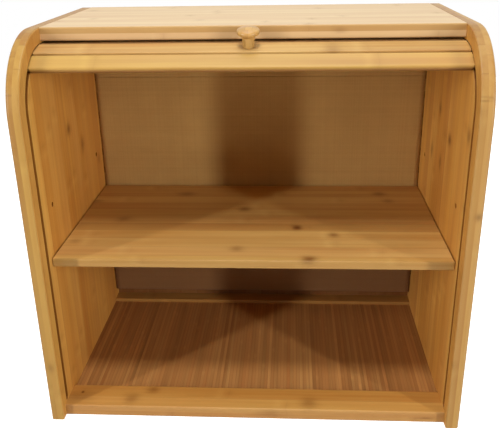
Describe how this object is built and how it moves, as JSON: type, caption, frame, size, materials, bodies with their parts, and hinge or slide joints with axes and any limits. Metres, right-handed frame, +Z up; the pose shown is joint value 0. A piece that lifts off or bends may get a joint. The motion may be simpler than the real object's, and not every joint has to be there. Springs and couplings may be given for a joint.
{
  "type": "bread box",
  "caption": "Two-tier bamboo bread box: curved side panels, a pull-out shelf and a slatted roll-top door in routed grooves, shown open.",
  "frame": {"origin": "on the table, under the middle of the box", "axes": "+X to the box's right seen from the front, +Y from the open front to the back, +Z up"},
  "size_m": [0.4, 0.25, 0.3731],
  "materials": {
    "bamboo_side": "satin lacquered bamboo, vertical strips",
    "bamboo_top": "satin lacquered bamboo, strips along the width",
    "bamboo_shelf": "satin lacquered bamboo, strips along the width",
    "bamboo_rail": "satin lacquered bamboo, strips along the width",
    "bamboo_slat": "satin lacquered bamboo",
    "bamboo_lift": "satin lacquered bamboo",
    "bamboo_knob": "satin lacquered turned bamboo",
    "bamboo_floor": "thin veneered board, grain front to back",
    "back_ply": "thin veneered board",
    "peg_wood": "plain turned wood",
    "canvas": "plain-woven cotton canvas",
    "screw_steel": "zinc-plated steel"
  },
  "bodies": {
    "cabinet": {"side_panel_left": "bamboo_side", "side_panel_right": "bamboo_side", "top_board": "bamboo_top", "front_rail": "bamboo_rail", "rear_rail": "bamboo_rail", "floor_panel": "bamboo_floor", "back_panel": "back_ply", "shelf_pegs": "peg_wood", "top_dowels": "peg_wood", "front_dowels": "peg_wood", "rear_dowels": "peg_wood"},
    "shelf": {"shelf": "bamboo_shelf"},
    "curtain_front": {"lift_rail": "bamboo_lift", "slat_01": "bamboo_slat", "knob": "bamboo_knob", "knob_screw": "screw_steel", "canvas_lead": "canvas"},
    "curtain_front_bend": {"slat_02": "bamboo_slat", "canvas_front_bend": "canvas"},
    "curtain_top": {"slat_03": "bamboo_slat", "slat_04": "bamboo_slat", "slat_05": "bamboo_slat", "slat_06": "bamboo_slat", "canvas_top": "canvas"},
    "curtain_top_entry": {"slat_07": "bamboo_slat", "canvas_top_entry": "canvas"},
    "curtain_rear_bend": {"slat_08": "bamboo_slat", "slat_09": "bamboo_slat", "canvas_rear_bend": "canvas"},
    "curtain_rear_entry": {"slat_10": "bamboo_slat", "canvas_rear_entry": "canvas"},
    "curtain_back": {"slat_11": "bamboo_slat", "slat_12": "bamboo_slat", "slat_13": "bamboo_slat", "slat_14": "bamboo_slat", "slat_15": "bamboo_slat", "slat_16": "bamboo_slat", "slat_17": "bamboo_slat", "slat_18": "bamboo_slat", "slat_19": "bamboo_slat", "slat_20": "bamboo_slat", "slat_21": "bamboo_slat", "slat_22": "bamboo_slat", "canvas_back": "canvas"}
  },
  "joints": [
    {"name": "shelf_slide", "type": "slide", "parent": "cabinet", "child": "shelf", "axis": [0, -1, 0], "range_m": [0, 0.18]},
    {"name": "door_slide", "type": "slide", "parent": "cabinet", "child": "curtain_back", "axis": [0, 0, 1], "range_m": [0, 0.02239]},
    {"name": "curtain_top_slide", "type": "slide", "parent": "cabinet", "child": "curtain_top", "axis": [0, -1, 0], "range_m": [0, 0.02239]},
    {"name": "curtain_front_turn", "type": "hinge", "parent": "cabinet", "child": "curtain_front", "pos_m": [0, -0.055, 0.302], "axis": [1, 0, 0], "range_deg": [0, 25.05]},
    {"name": "curtain_front_bend_turn", "type": "hinge", "parent": "cabinet", "child": "curtain_front_bend", "pos_m": [0, -0.04918, 0.26176], "axis": [1, 0, 0], "range_deg": [0, 14]},
    {"name": "curtain_top_entry_turn", "type": "hinge", "parent": "cabinet", "child": "curtain_top_entry", "pos_m": [0, 0.05115, 0.14732], "axis": [1, 0, 0], "range_deg": [0, 6.24]},
    {"name": "curtain_rear_bend_turn", "type": "hinge", "parent": "cabinet", "child": "curtain_rear_bend", "pos_m": [0, 0.062, 0.3075], "axis": [1, 0, 0], "range_deg": [0, 28.06]},
    {"name": "curtain_rear_entry_turn", "type": "hinge", "parent": "cabinet", "child": "curtain_rear_entry", "pos_m": [0, 0.05831, 0.3063], "axis": [1, 0, 0], "range_deg": [0, 25.89]}
  ],
  "couplings": [
    {"joint": "curtain_top_slide", "follows": "door_slide", "ratio": 1},
    {"joint": "curtain_front_turn", "follows": "door_slide", "rad_per_m": 19.512},
    {"joint": "curtain_front_bend_turn", "follows": "door_slide", "rad_per_m": 10.894},
    {"joint": "curtain_top_entry_turn", "follows": "door_slide", "rad_per_m": 4.8524},
    {"joint": "curtain_rear_bend_turn", "follows": "door_slide", "rad_per_m": 21.858},
    {"joint": "curtain_rear_entry_turn", "follows": "door_slide", "rad_per_m": 20.167}
  ]
}
